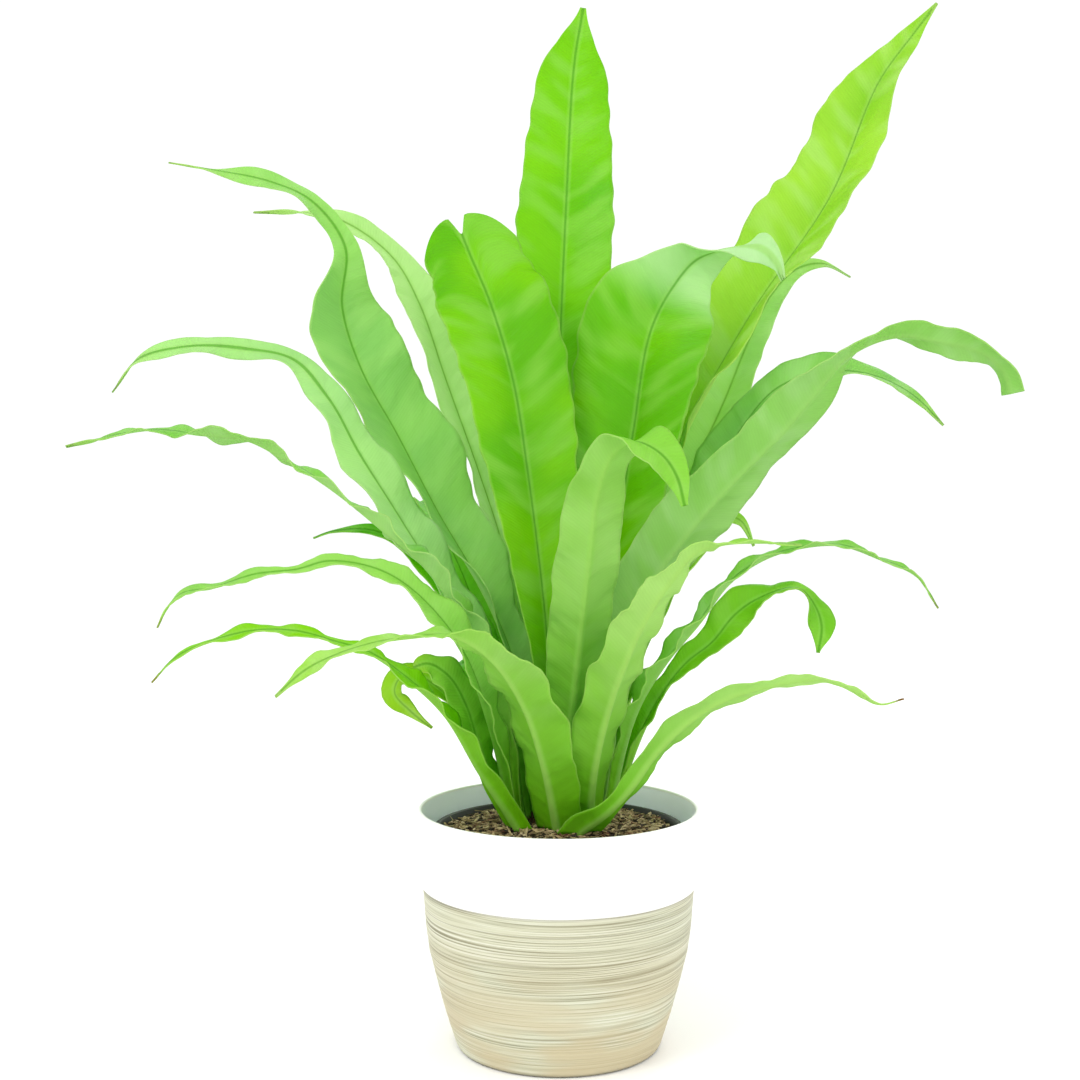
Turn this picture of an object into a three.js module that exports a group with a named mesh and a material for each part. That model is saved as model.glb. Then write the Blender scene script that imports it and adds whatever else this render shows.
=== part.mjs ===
// Potted bird's nest fern: a rosette of strap-shaped fronds on a short crown, in potting mix,
// in a black grow pot that stands inside a white cover pot with a ribbed lower band.
// Millimetres, +Z up. The origin is the middle of the cover pot's flat foot, and -Y is the front.
import * as THREE from "three";

// Driving dimensions
const seatGap = 0.3; // between pieces that rest on each other
const potHeight = 145;
const rimRadius = 85;
const potWall = 2.6;
const potFloor = 3;
const footRadius = 59;
const bandBottom = 99; // height at which the smooth white band ends
const bandProud = 0.9; // how far that band stands out from the ribbed part
const ribPitch = 9;
const ribDepth = 0.45;

const growPotTop = 133;
const growPotRadius = 74; // outside, at the top
const growPotFootRadius = 52;
const growPotWall = 1.3;
const growPotLip = 2.2;

const soilTop = 129;
const soilUnevenness = 1.3;
const soilMound = 6.3; // how far the mix rises towards the crown
const crownRadius = 38;
const crownTop = 136;
const crownDepth = 40;

const bladeThickness = 0.9;
const keelDepth = 2.4; // extra thickness of the midrib where it leaves the crown
const tipHalfWidth = 0.9;

const colours = {
  white: 0xf4f4f1,
  blackPlastic: 0x23272a,
  soil: 0x5b4329,
  crown: 0x4a3a22,
  youngGreen: 0x9fdc62,
  brightGreen: 0x74cc1f,
  deepGreen: 0x58b312,
  blueGreen: 0x82c36c,
};

// The fronds, from the middle of the crown outwards.
//   out     the way it leans, in degrees: 0 right, 90 back, 180 left, 270 front
//   root    [x, y] where its stalk stands on the crown
//   rib     the points that its midrib runs through above the crown
//   halves  half of the blade's width, at even steps from foot to tip
//   fold    degrees that the half blades are raised from flat, at even steps from foot to tip
//   turn    degrees that the blade is turned about its midrib, at even steps from foot to tip
//   ruffle  [waves along the margin, their height]
//   notch   depth of the cleft in a blunt tip, as a share of the length
//   round   how far a blunt tip's corners are rounded off, as a share of the length
const fronds = [
  // inner ring, upright
  { name: "frond_tall_back", out: 88, root: [2, 14], colour: "brightGreen",
    rib: [[2, 22, 207], [1, 40, 290], [0, 62, 362], [2, 82, 432], [6, 98, 522], [11, 110, 609],
      [17, 112, 647]],
    halves: [5, 7, 10, 13, 17, 22, 28, 31, 33, 32, 28, 22, 2], fold: [40, 12],
    turn: [0, 0, 0], ruffle: [3, 2.5] },
  { name: "frond_notched", out: 105, root: [-6, -4], colour: "brightGreen",
    rib: [[-5, -3, 209], [-8, 3, 257], [-19, 16, 348], [-28, 27, 403], [-42, 37, 450], [-55, 44, 481],
      [-64, 46, 504]],
    halves: [5, 9, 15, 22, 28, 33, 36, 37, 32], notch: 0.03, round: 0.06, fold: [45, 8],
    turn: [0, 0, 5], ruffle: [4, 1.3] },
  { name: "frond_curled_tip", out: 70, root: [8, 1], colour: "brightGreen",
    rib: [[14, 6, 197], [25, 16, 251], [37, 28, 311], [47, 39, 372], [58, 47, 434], [73, 49, 463],
      [86, 43, 478], [103, 28, 483], [120, 13, 482], [129, 1, 472], [132, -6, 461]],
    halves: [5, 8, 12, 19, 26, 34, 40, 43, 41, 17, 12, 2], fold: [45, 8],
    turn: [0, 0, 0, 0, 0, 18, 30], ruffle: [4, 3] },
  { name: "frond_tall_right", out: 35, root: [13, 11], colour: "youngGreen",
    rib: [[25, 26, 220], [51, 48, 304], [81, 64, 370], [125, 80, 447], [177, 94, 523], [208, 101, 596],
      [230, 102, 627], [245, 100, 647]],
    halves: [5, 10, 19, 30, 36, 37, 34, 22, 1], fold: [45, 30],
    turn: [0, 0, 15, 35], ruffle: [7, 4] },
  { name: "frond_twisted_left", out: 140, root: [-13, 11], colour: "brightGreen",
    rib: [[-22, 21, 209], [-41, 37, 261], [-77, 61, 321], [-103, 75, 369], [-127, 83, 412], [-139, 86, 452],
      [-136, 80, 489], [-155, 70, 516], [-180, 60, 527], [-212, 45, 532], [-238, 34, 535]],
    halves: [5, 7, 11, 18, 26, 32, 35, 32, 29, 8, 8, 7, 1], fold: [45, 45, 40, 30, 25, 20, 10, 5, 5],
    turn: [0, 0, 0, 0, -8, -15, -20, -20, -10], ruffle: [7, 4] },
  { name: "frond_pale_left", out: 122, root: [-10, 19], colour: "youngGreen",
    rib: [[-22, 46, 225], [-34, 79, 290], [-53, 105, 347], [-75, 123, 407], [-92, 126, 456],
      [-110, 128, 487], [-140, 120, 509], [-165, 110, 514], [-197, 98, 513]],
    halves: [5, 8, 12, 16, 20, 21, 16, 7, 1], fold: [45, 15],
    turn: [0, 10, 0], ruffle: [6, 3] },
  { name: "frond_pale_right", out: 48, root: [14, 20], colour: "youngGreen",
    rib: [[32, 42, 218], [56, 66, 271], [86, 92, 340], [111, 110, 392], [128, 122, 432], [144, 131, 463],
      [161, 134, 480], [178, 132, 483], [196, 128, 474]],
    halves: [5, 9, 16, 23, 25, 22, 14, 9, 1], fold: [45, 15],
    turn: [0, 0, 20, 50], ruffle: [6, 3] },
  { name: "frond_front_folded", out: 278, root: [3, -17], colour: "brightGreen",
    rib: [[6, -33, 191], [12, -46, 252], [17, -58, 299], [22, -68, 339], [30, -78, 359], [41, -88, 365],
      [55, -95, 358], [63, -98, 346], [67, -98, 331]],
    halves: [8, 12, 16, 19, 20, 20, 18, 13, 13, 2], fold: [35, 12],
    turn: [0, 0, 0], ruffle: [8, 2] },
  { name: "frond_broad_right", out: 345, root: [18, -9], colour: "blueGreen",
    rib: [[28, -16, 217], [52, -19, 277], [78, -23, 314], [101, -28, 341], [130, -32, 371], [148, -40, 394],
      [165, -46, 414], [189, -53, 424], [213, -58, 421], [238, -61, 414], [249, -62, 403], [252, -62, 392]],
    halves: [6, 12, 19, 24, 24, 22, 20, 15, 9, 11, 9], fold: [40, 10],
    turn: [0, -30, -60, -60, -58, -56, -50, -40, -20, -35, -50], ruffle: [5, 4] },
  { name: "frond_arched_left", out: 157, root: [-20, 3], colour: "brightGreen",
    rib: [[-34, 10, 207], [-61, 11, 258], [-97, 16, 316], [-124, 28, 358], [-143, 39, 391], [-164, 46, 414],
      [-191, 44, 421], [-227, 36, 422], [-256, 30, 414], [-271, 26, 394]],
    halves: [5, 10, 16, 21, 21, 13, 7, 8, 1], fold: [20, 20, 10, 5, 5],
    turn: [0, 0, 0, -5, -15, -30, -45, -50, -30], ruffle: [8, 3] },
  { name: "frond_arched_right", out: 22, root: [24, 5], colour: "blueGreen",
    rib: [[41, 15, 210], [66, 26, 272], [92, 42, 328], [116, 54, 373], [140, 62, 399], [172, 64, 409],
      [200, 62, 406], [223, 58, 394], [242, 54, 375]],
    halves: [5, 9, 14, 18, 18, 15, 13, 10, 1], fold: [45, 15],
    turn: [0, 15, 50], ruffle: [5, 3] },
  // middle ring
  { name: "frond_long_left", out: 175, root: [-24, -7], colour: "blueGreen",
    rib: [[-38, -15, 206], [-55, -18, 255], [-78, -21, 291], [-105, -15, 314], [-138, 3, 338],
      [-165, 11, 354], [-189, 13, 366], [-217, 12, 369], [-244, 10, 372], [-270, 8, 368], [-296, 6, 362]],
    halves: [5, 9, 12, 11, 8, 7, 8, 6, 1], fold: [40, 40, 20, 10, 10],
    turn: [0, 25, 25, 10, 20, 0, 30, -20, 20], ruffle: [10, 4] },
  { name: "frond_short_left", out: 160, root: [-21, 12], colour: "deepGreen",
    rib: [[-42, 31, 230], [-74, 46, 278], [-97, 52, 300], [-118, 54, 309], [-142, 54, 308],
      [-154, 54, 304]],
    halves: [4, 6, 8, 11, 9, 5, 1], fold: [45, 15],
    turn: [0, -45, -30], ruffle: [5, 2] },
  { name: "frond_wavy_left", out: 188, root: [-27, -16], colour: "brightGreen",
    rib: [[-41, -28, 200], [-57, -35, 245], [-81, -33, 275], [-105, -26, 290], [-135, -23, 295],
      [-154, -22, 290], [-179, -22, 287], [-204, -22, 279], [-221, -22, 276], [-230, -22, 268],
      [-236, -22, 256]],
    halves: [5, 9, 12, 13, 9, 5, 4, 6, 1], fold: [40, 10],
    turn: [0, -40, -40, 0], ruffle: [8, 3] },
  { name: "frond_front_left", out: 232, root: [-1, -28], colour: "youngGreen",
    rib: [[-10, -48, 182], [-21, -61, 216], [-39, -78, 245], [-60, -90, 259], [-82, -98, 259],
      [-103, -102, 256], [-122, -105, 250], [-138, -106, 242], [-154, -106, 228]],
    halves: [15, 18, 21, 22, 17, 9, 6, 7, 1], fold: [20, 10],
    turn: [20, 0, 0, 0, 0], ruffle: [7, 2.5] },
  { name: "frond_front_right", out: 300, root: [18, -21], colour: "youngGreen",
    rib: [[21, -40, 176], [28, -50, 210], [36, -60, 236], [48, -69, 265], [62, -77, 288], [75, -82, 304],
      [90, -86, 309], [110, -88, 310], [132, -90, 309]],
    halves: [12, 14, 17, 18, 18, 17, 15, 9, 6, 5, 1], fold: [30, 10],
    turn: [0, 0, 0], ruffle: [8, 2.5] },
  { name: "frond_grey_right", out: 350, root: [29, -10], colour: "blueGreen",
    rib: [[45, -20, 204], [62, -22, 234], [83, -24, 260], [99, -26, 282], [118, -28, 296], [138, -30, 303],
      [163, -32, 305], [186, -34, 297], [207, -36, 287], [219, -37, 269]],
    halves: [4, 7, 10, 9, 7, 6, 5, 4, 1], fold: [45, 15],
    turn: [0, 20, 0], ruffle: [10, 3] },
  { name: "frond_bent_right", out: 2, root: [31, 1], colour: "brightGreen",
    rib: [[55, 0, 200], [76, 4, 230], [93, 5, 244], [107, 5, 261], [122, 4, 271], [143, 0, 277],
      [152, -6, 268], [156, -10, 256], [154, -12, 240]],
    halves: [4, 7, 9, 10, 9, 8, 9, 12, 13, 9, 5, 10, 1], fold: [45, 15],
    turn: [0, 12, 22, 32, 42, 55, 62, 45, 5, 65, 80], ruffle: [6, 2.5] },
  // outer ring, low
  { name: "frond_low_right", out: 338, root: [11, -35], colour: "youngGreen",
    rib: [[29, -46, 152], [42, -46, 166], [55, -44, 184], [76, -42, 204], [99, -40, 217], [125, -38, 224],
      [151, -38, 227], [170, -38, 221], [186, -38, 213], [200, -38, 216]],
    halves: [13, 8, 8, 9, 8, 7, 5, 4, 1], fold: [15, 20, 10, 10],
    turn: [-48, -36, -40, -42, -38, -34, -30, -10], ruffle: [6, 2] },
  { name: "frond_low_left", out: 197, root: [-24, -26], colour: "brightGreen",
    rib: [[-47, -38, 175], [-66, -44, 208], [-87, -48, 229], [-109, -52, 245], [-129, -56, 252],
      [-151, -58, 258], [-175, -60, 258], [-201, -60, 251], [-219, -60, 242], [-231, -60, 229]],
    halves: [8.5, 9, 12, 12, 8, 4, 5, 6, 3, 1], fold: [20, 10],
    turn: [50, 0, -30, -20, 0], ruffle: [8, 3] },
  { name: "frond_yellow_tip", out: 175, root: [-32, 1], colour: "youngGreen",
    rib: [[-51, 3, 189], [-64, 4, 207], [-81, 7, 221], [-95, 9, 222], [-99, 10, 213], [-90, 11, 202],
      [-77, 12, 191]],
    halves: [4, 5, 6, 8, 10, 8, 1], fold: [40, 10],
    turn: [0, -30, -60], ruffle: [4, 2] },
  { name: "frond_blunt_left", out: 190, root: [-31, -9], colour: "brightGreen",
    rib: [[-48, -16, 184], [-55, -17, 208], [-65, -18, 226], [-77, -19, 234], [-86, -20, 232]],
    halves: [5, 8, 11, 12, 12, 11, 7], round: 0.06, fold: [20, 5],
    turn: [0, -50, -50], ruffle: [5, 2] },
  { name: "frond_small_right", out: 22, root: [25, 11], colour: "youngGreen",
    rib: [[46, 27, 212], [63, 38, 260], [84, 48, 297], [103, 56, 317], [115, 58, 315], [124, 58, 299]],
    halves: [4, 6, 8, 9, 10, 9, 1], fold: [45, 15],
    turn: [0, 20, 60], ruffle: [5, 2] },
  { name: "frond_small_left", out: 140, root: [-25, 15], colour: "brightGreen",
    rib: [[-44, 38, 208], [-65, 60, 257], [-85, 76, 300], [-97, 84, 324], [-103, 87, 324], [-107, 89, 309]],
    halves: [4, 6, 8, 10, 8, 6, 1], fold: [45, 15],
    turn: [0, -30, -40], ruffle: [5, 2] },
  // behind
  { name: "frond_rear_tall_left", out: 103, root: [-3, 25], colour: "brightGreen",
    rib: [[-6, 66, 222], [-13, 114, 300], [-32, 158, 366], [-54, 196, 394], [-74, 230, 386],
      [-88, 256, 356]],
    halves: [5, 10, 17, 23, 24, 21, 14, 8, 1], fold: [45, 15],
    turn: [0, 0, 0], ruffle: [6, 3.5] },
  { name: "frond_rear_tall_right", out: 76, root: [6, 26], colour: "brightGreen",
    rib: [[24, 65, 222], [37, 103, 290], [42, 144, 340], [52, 186, 356], [64, 222, 340], [72, 244, 306]],
    halves: [5, 9, 15, 20, 20, 16, 10, 1], fold: [45, 15],
    turn: [0, 0, 0], ruffle: [6, 3.5] },
  { name: "frond_rear_left", out: 122, root: [-19, 22], colour: "brightGreen",
    rib: [[-38, 58, 212], [-62, 98, 276], [-83, 136, 312], [-95, 172, 322], [-103, 202, 312],
      [-106, 222, 292]],
    halves: [4, 8, 13, 15, 14, 11, 7, 1], fold: [45, 15],
    turn: [0, 0, 0], ruffle: [8, 3] },
  { name: "frond_rear_low_middle", out: 84, root: [2, 31], colour: "youngGreen",
    rib: [[6, 64, 186], [10, 98, 232], [14, 138, 254], [18, 178, 246], [20, 210, 216], [20, 224, 190]],
    halves: [5, 9, 13, 14, 12, 8, 1], fold: [45, 10],
    turn: [0, 0, 0], ruffle: [8, 3] },
  { name: "frond_rear_low_left", out: 116, root: [-11, 29], colour: "deepGreen",
    rib: [[-19, 64, 188], [-31, 104, 228], [-48, 138, 245], [-60, 176, 232], [-66, 204, 202]],
    halves: [5, 9, 12, 13, 11, 7, 1], fold: [45, 10],
    turn: [0, 0, 0], ruffle: [7, 3] },
  { name: "frond_rear_low_right", out: 66, root: [19, 25], colour: "brightGreen",
    rib: [[32, 58, 190], [40, 92, 224], [46, 128, 234], [48, 160, 220], [48, 184, 188]],
    halves: [5, 9, 12, 13, 11, 7, 1], fold: [45, 10],
    turn: [0, 0, 0], ruffle: [7, 3] },
  { name: "frond_rear_small", out: 128, root: [-31, 10], colour: "deepGreen",
    rib: [[-57, 33, 180], [-64, 62, 207], [-68, 98, 216], [-72, 130, 205], [-74, 152, 180]],
    halves: [4, 7, 10, 11, 9, 6, 1], fold: [45, 10],
    turn: [0, 0, 0], ruffle: [7, 3] },
];

// Shared shape helpers
const up = new THREE.Vector3(0, 0, 1);

function easeBetween(from, to, x) {
  const t = Math.min(1, Math.max(0, (x - from) / (to - from)));
  return t * t * (3 - 2 * t);
}

// The value at share s of a list of values that stand at even steps from 0 to 1, joined smoothly.
function valueAlong(list, s) {
  const place = Math.min(s, 0.9999) * (list.length - 1);
  const i = Math.floor(place);
  const t = place - i;
  const [b, c] = [list[i], list[i + 1]];
  const a = list[i - 1] ?? b;
  const d = list[i + 2] ?? c;
  return b + 0.5 * t * (c - a + t * (2 * a - 5 * b + 4 * c - d + t * (3 * (b - c) + d - a)));
}

// Rows of points on the blade's middle surface, from foot to tip, each from the left margin to the right.
function bladeRows(frond, stations, across) {
  const foot = new THREE.Vector3(frond.root[0], frond.root[1], crownTop + seatGap);
  const points = [foot, ...frond.rib.map((p) => new THREE.Vector3(...p))];
  const rib = new THREE.CatmullRomCurve3(points, false, "centripetal");
  rib.arcLengthDivisions = 400;
  const lean = THREE.MathUtils.degToRad(frond.out);
  const side = new THREE.Vector3(-Math.sin(lean), Math.cos(lean), 0);
  const [waves, waveHeight] = frond.ruffle;
  const rows = [];
  for (let i = 0; i <= stations; i++) {
    const s = 1 - (1 - i / stations) ** 1.2; // closer together towards the tip
    const half = Math.max(tipHalfWidth, valueAlong(frond.halves, s));
    const fold = THREE.MathUtils.degToRad(valueAlong(frond.fold, s));
    const row = [];
    for (const v of across) {
      const cleft = (frond.notch ?? 0) * (1 - easeBetween(0, 0.2, Math.abs(v)));
      const corner = (frond.round ?? 0) * Math.abs(v) ** 2.5;
      const share = s - (cleft + corner) * easeBetween(0.8, 1, s);
      const tangent = rib.getTangentAt(share);
      tangent.lerp(up, 1 - easeBetween(0, 0.04, s)).normalize();
      const width = side.clone().addScaledVector(tangent, -side.dot(tangent)).normalize();
      width.applyAxisAngle(tangent, THREE.MathUtils.degToRad(valueAlong(frond.turn, s)));
      const face = tangent.clone().cross(width);
      const ruffled = waveHeight * easeBetween(0.03, 0.3, s) * Math.min(1, half / 10);
      const phase = v < 0 ? 0 : 2.1;
      const wave = ruffled * Math.abs(v) ** 1.5 * Math.sin(2 * Math.PI * waves * s + phase);
      const reach = half * Math.abs(v);
      row.push(rib.getPointAt(share)
        .addScaledVector(width, Math.sign(v) * reach * Math.cos(fold))
        .addScaledVector(face, reach * Math.sin(fold) + wave));
    }
    rows.push(row);
  }
  return rows;
}

// The direction in which the middle surface faces at one of its points.
function facing(rows, i, j) {
  const last = rows.length - 1;
  const end = rows[0].length - 1;
  const along = rows[Math.min(i + 1, last)][j].clone().sub(rows[Math.max(i - 1, 0)][j]);
  const over = rows[i][Math.min(j + 1, end)].clone().sub(rows[i][Math.max(j - 1, 0)]);
  return along.cross(over).normalize();
}

// A closed blade: the middle surface thickened both ways, with the midrib's keel below.
function bladeGeometry(rows) {
  const last = rows.length - 1;
  const end = rows[0].length - 1;
  const middle = end / 2;
  const count = rows.length * (end + 1);
  const upper = [];
  const lower = [];
  rows.forEach((row, i) => row.forEach((p, j) => {
    const normal = facing(rows, i, j);
    if (i === 0) normal.setZ(0).normalize(); // a level foot
    const keel = j === middle ? keelDepth * (1 - i / last) : 0;
    upper.push(p.clone().addScaledVector(normal, bladeThickness / 2));
    lower.push(p.clone().addScaledVector(normal, -bladeThickness / 2 - keel));
  }));
  const at = (i, j) => i * (end + 1) + j;
  const under = (i, j) => count + at(i, j);
  const faces = [];
  for (let i = 0; i < last; i++) {
    for (let j = 0; j < end; j++) {
      faces.push(at(i, j), at(i + 1, j), at(i + 1, j + 1), at(i, j), at(i + 1, j + 1), at(i, j + 1));
      faces.push(under(i, j), under(i + 1, j + 1), under(i + 1, j));
      faces.push(under(i, j), under(i, j + 1), under(i + 1, j + 1));
    }
    faces.push(under(i, 0), under(i + 1, 0), at(i + 1, 0), under(i, 0), at(i + 1, 0), at(i, 0));
    faces.push(under(i, end), at(i + 1, end), under(i + 1, end), under(i, end), at(i, end), at(i + 1, end));
  }
  for (let j = 0; j < end; j++) {
    faces.push(under(0, j), at(0, j), at(0, j + 1));
    faces.push(under(0, j), at(0, j + 1), under(0, j + 1));
    faces.push(under(last, j), at(last, j + 1), at(last, j));
    faces.push(under(last, j), under(last, j + 1), at(last, j + 1));
  }
  const geometry = new THREE.BufferGeometry().setFromPoints([...upper, ...lower]);
  geometry.setIndex(faces);
  geometry.computeVertexNormals();
  return geometry;
}

function makeFrond(frond) {
  const broad = Math.max(...frond.halves) > 17;
  const across = broad ? [-1, -0.5, 0, 0.5, 1] : [-1, 0, 1];
  if (frond.notch) across.splice(1, 3, -0.75, -0.45, -0.2, 0, 0.2, 0.45, 0.75);
  const stations = Math.max(broad ? 20 : 24, Math.round(3.2 * frond.ruffle[0]));
  return piece(frond.name, bladeGeometry(bladeRows(frond, stations, across)), frondSkin(frond.colour));
}

// Pots, soil and crown

// A turned body from a closed profile of [radius, height], bottom middle first.
function turned(profile, segments) {
  const points = profile.map(([r, z]) => new THREE.Vector2(r, z));
  return new THREE.LatheGeometry(points, segments).rotateX(Math.PI / 2);
}

function coverPotRadiusAt(z) {
  const outline = [
    [0, 61], [4, 63], [22, 68.6], [38, 73], [60, 78.4], [75, 80.4], [bandBottom, 82.1], [potHeight, 84.6],
  ];
  const above = outline.findIndex(([height]) => height > z);
  if (above < 0) return outline.at(-1)[1];
  const [[z0, r0], [z1, r1]] = [outline[above - 1], outline[above]];
  return r0 + ((r1 - r0) * (z - z0)) / (z1 - z0);
}

function makeCoverPot() {
  const profile = [[0, 0], [footRadius, 0], [footRadius + 2.2, 0.9], [coverPotRadiusAt(4), 4]];
  for (let z = 6; z < bandBottom - 3; z += ribPitch) {
    profile.push([coverPotRadiusAt(z), z]);
    profile.push([coverPotRadiusAt(z + ribPitch / 2) - ribDepth, z + ribPitch / 2]);
  }
  profile.push([coverPotRadiusAt(bandBottom - 1) - ribDepth, bandBottom - 1]);
  profile.push([coverPotRadiusAt(bandBottom) + bandProud, bandBottom]);
  profile.push([coverPotRadiusAt(122) + bandProud, 122]);
  profile.push([rimRadius, potHeight - 2], [rimRadius, potHeight - 0.6], [rimRadius - 0.7, potHeight]);
  profile.push([rimRadius - potWall + 0.6, potHeight], [rimRadius - potWall, potHeight - 0.7]);
  for (const z of [110, 75, 45, 22, 9]) profile.push([coverPotRadiusAt(z) - potWall, z]);
  profile.push([footRadius - 3, potFloor], [0, potFloor]);
  return piece("cover_pot", turned(profile, 48), gloss("white", 0.3));
}

function makeGrowPot() {
  const foot = potFloor + seatGap;
  const slope = (growPotRadius - growPotFootRadius) / (growPotTop - foot);
  const radius = (z) => growPotFootRadius + slope * (z - foot);
  const profile = [
    [0, foot], [growPotFootRadius - 1, foot], [growPotFootRadius, foot + 1],
    [radius(growPotTop - 6), growPotTop - 6],
    [growPotRadius + growPotLip, growPotTop - 6], [growPotRadius + growPotLip, growPotTop - 1],
    [growPotRadius + growPotLip - 1, growPotTop], [growPotRadius - growPotWall, growPotTop],
    [growPotFootRadius - growPotWall, foot + growPotWall], [0, foot + growPotWall],
  ];
  return piece("grow_pot", turned(profile, 48), gloss("blackPlastic", 0.5));
}

// Potting mix that fills the grow pot, with a hollow in the middle for the crown and a lumpy top.
function makeSoil() {
  const bottom = potFloor + seatGap + growPotWall + seatGap;
  const slope = (growPotRadius - growPotFootRadius) / (growPotTop - potFloor - seatGap);
  const radius = (z) => growPotFootRadius - growPotWall - seatGap + slope * (z - bottom);
  const hollow = crownRadius + seatGap;
  const edge = radius(soilTop) - 0.3;
  const foot = [[0, bottom], [radius(bottom) - 1, bottom], [radius(bottom + 1) - 0.3, bottom + 1]];
  const profile = [...foot, [edge, soilTop - 1.5]];
  for (let i = 0; i <= 5; i++) {
    const inwards = i / 5;
    profile.push([edge - 0.4 - inwards * (edge - 0.4 - hollow), soilTop + soilMound * inwards ** 1.6]);
  }
  profile.push([hollow, crownTop - crownDepth], [0, crownTop - crownDepth]);
  const geometry = turned(profile, 48);
  const points = geometry.attributes.position;
  for (let i = 0; i < points.count; i++) {
    const [x, y, z] = [points.getX(i), points.getY(i), points.getZ(i)];
    if (z < soilTop - 0.01) continue;
    const lumps = Math.sin(0.31 * x + 1.1 * Math.sin(0.23 * y));
    const dips = Math.sin(0.37 * y + 0.9 * Math.sin(0.29 * x));
    points.setZ(i, z + 0.5 * soilUnevenness * (lumps + dips));
  }
  return piece("soil", geometry, matt("soil"));
}

// The short upright rootstock with a level top, on which every stalk stands.
function makeCrown() {
  const bottom = crownTop - crownDepth + seatGap;
  const profile = [
    [0, bottom], [22, bottom], [31, bottom + 6], [crownRadius - 1.2, bottom + 20],
    [crownRadius - 0.6, crownTop - 2], [crownRadius - 1.4, crownTop], [0, crownTop],
  ];
  return piece("crown", turned(profile, 48), matt("crown"));
}

// Materials
function frondSkin(colour) {
  return gloss(colour, 0.45);
}

function gloss(colour, roughness) {
  return new THREE.MeshStandardMaterial({ color: colours[colour], roughness, metalness: 0 });
}

function matt(colour) {
  return new THREE.MeshStandardMaterial({ color: colours[colour], roughness: 0.95, metalness: 0 });
}

function piece(name, geometry, material) {
  const mesh = new THREE.Mesh(geometry, material);
  mesh.name = name;
  return mesh;
}

const pottedFern = new THREE.Group();
pottedFern.name = "potted_birds_nest_fern";
pottedFern.add(makeCoverPot(), makeGrowPot(), makeSoil(), makeCrown(), ...fronds.map(makeFrond));
export default pottedFern;
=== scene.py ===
# Potted bird's nest fern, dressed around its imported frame.
# Blender works in metres here, and the dictionaries are in millimetres. +Z is up, -Y is the front.
import math
import random

import bmesh
import bpy
import numpy as np
from mathutils import Matrix, Vector, noise


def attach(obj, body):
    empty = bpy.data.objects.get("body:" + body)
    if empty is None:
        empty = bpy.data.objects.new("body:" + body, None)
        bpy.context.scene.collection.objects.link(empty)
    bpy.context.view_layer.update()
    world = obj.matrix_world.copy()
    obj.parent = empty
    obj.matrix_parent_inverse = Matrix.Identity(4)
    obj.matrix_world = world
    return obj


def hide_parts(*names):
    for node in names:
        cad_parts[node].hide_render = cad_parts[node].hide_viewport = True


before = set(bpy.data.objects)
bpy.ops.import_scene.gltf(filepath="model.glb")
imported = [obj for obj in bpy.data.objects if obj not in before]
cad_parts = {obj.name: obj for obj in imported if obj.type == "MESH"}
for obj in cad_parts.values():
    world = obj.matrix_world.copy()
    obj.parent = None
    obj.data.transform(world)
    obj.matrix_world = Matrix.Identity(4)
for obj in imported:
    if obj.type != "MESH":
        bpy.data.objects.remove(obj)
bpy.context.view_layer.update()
mm = 0.001
print("frame loaded")

# Nodes and colours

def linear(hexColour):
    # sRGB hex to the linear colour that a socket takes
    parts = [int(hexColour[i:i + 2], 16) / 255 for i in (1, 3, 5)]
    return [p / 12.92 if p <= 0.04045 else ((p + 0.055) / 1.055) ** 2.4 for p in parts] + [1.0]


def addNode(tree, kind, inputs=None, **settings):
    # an input takes a value, a hex colour, a socket, or a node whose first output is meant
    node = tree.nodes.new("ShaderNode" + kind)
    for name, value in settings.items():
        setattr(node, name, value)
    for socket, value in (inputs or {}).items():
        if isinstance(value, bpy.types.Node):
            value = value.outputs[0]
        if isinstance(value, bpy.types.NodeSocket):
            tree.links.new(value, node.inputs[socket])
        elif isinstance(value, str):
            node.inputs[socket].default_value = linear(value)
        else:
            node.inputs[socket].default_value = value
    return node


def newMaterial(name):
    material = bpy.data.materials.new(name)
    material.use_nodes = True
    material.node_tree.nodes.clear()
    return material, material.node_tree


def finishPiece(name, mesh, materials, stands=()):
    # a finished piece sits at the origin, rides on the one body and stands for its CAD nodes
    piece = bpy.data.objects.new(name, mesh)
    bpy.context.scene.collection.objects.link(piece)
    for material in materials:
        mesh.materials.append(material)
    mesh.polygons.foreach_set("use_smooth", [True] * len(mesh.polygons))
    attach(piece, "root")
    if stands:
        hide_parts(*stands)
    return piece


def meshFrom(bm, name):
    mesh = bpy.data.meshes.new(name)
    bm.to_mesh(mesh)
    bm.free()
    return mesh


def vertexPlaces(mesh):
    places = np.empty(len(mesh.vertices) * 3)
    mesh.vertices.foreach_get("co", places)
    return places.reshape(-1, 3)


def setAttribute(mesh, name, values):
    # a number or a vector for each vertex, which the materials read
    values = np.asarray(values, np.float32)
    kind, key = ("FLOAT", "value") if values.ndim == 1 else ("FLOAT_VECTOR", "vector")
    mesh.attributes.new(name, kind, "POINT").data.foreach_set(key, values.ravel())


# Camera, light and floor

camera = bpy.data.objects.new("camera", bpy.data.cameras.new("camera"))
camera.location = (-0.0112, -1.027, 0.370)
camera.rotation_euler = (math.radians(90 - 3.54), 0, 0)
camera.data.sensor_width = 36
camera.data.lens = 57.23
bpy.context.scene.collection.objects.link(camera)
bpy.context.scene.camera = camera
bpy.context.scene.view_settings.view_transform = "Standard"  # keeps the clear greens and the white

studio = {
    "sky": ("#ffffff", 1.05),
    "softboxes": [  # name, place, size, watts
        ("key", (-1.2, -1.3, 2.0), 1.0, 16),
        ("fill", (1.7, -1.2, 1.1), 1.4, 5),
        ("front", (0.2, -2.1, 1.3), 1.0, 5),
        ("back", (0.6, 1.9, 1.7), 1.2, 8),
    ],
    "aim": (0, 0, 0.3),
    "floorSize": 12,
}


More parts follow.
